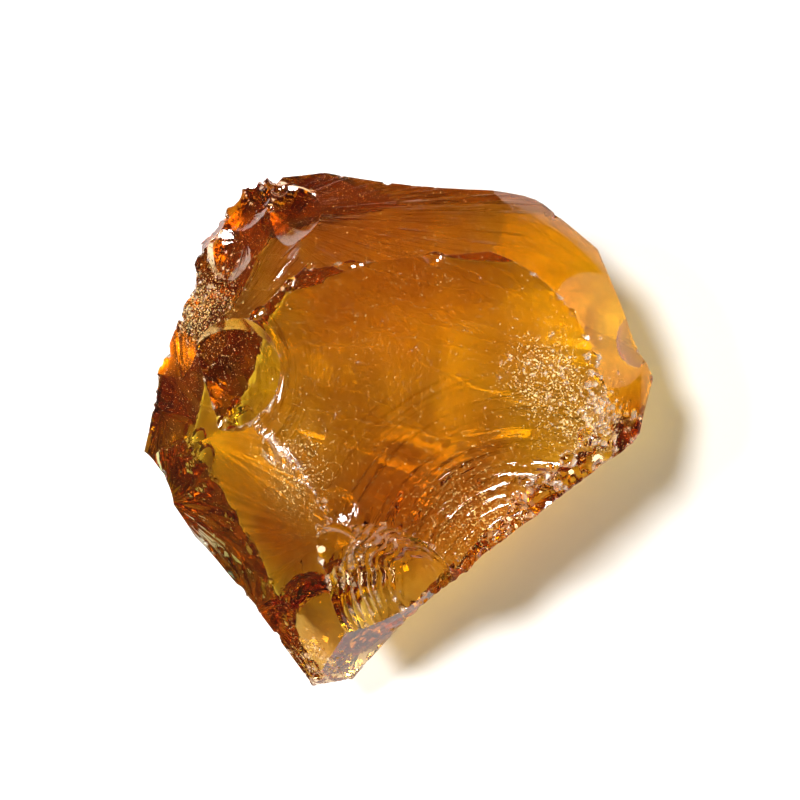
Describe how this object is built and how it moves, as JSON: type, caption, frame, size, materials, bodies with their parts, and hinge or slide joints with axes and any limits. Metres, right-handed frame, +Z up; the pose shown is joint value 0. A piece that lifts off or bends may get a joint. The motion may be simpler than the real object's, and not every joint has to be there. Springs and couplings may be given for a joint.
{
  "type": "topaz crystal",
  "caption": "Rough chunk of clear amber gem crystal with conchoidal fracture faces, scalloped scars, chipped edges and a flat cleavage base.",
  "frame": {"origin": "centre of the bounding box, on the flat base that the stone rests on", "axes": "+Z up from the flat base, +X to the blunt right end, +Y to the back slope, away from the pointed front tip"},
  "size_m": [0.059, 0.0566, 0.0203],
  "materials": {
    "gem": "clear amber topaz, glassy on the fracture faces, IOR 1.62, colour by absorption through its thickness"
  },
  "bodies": {
    "root": {"stone": "gem"}
  },
  "joints": []
}
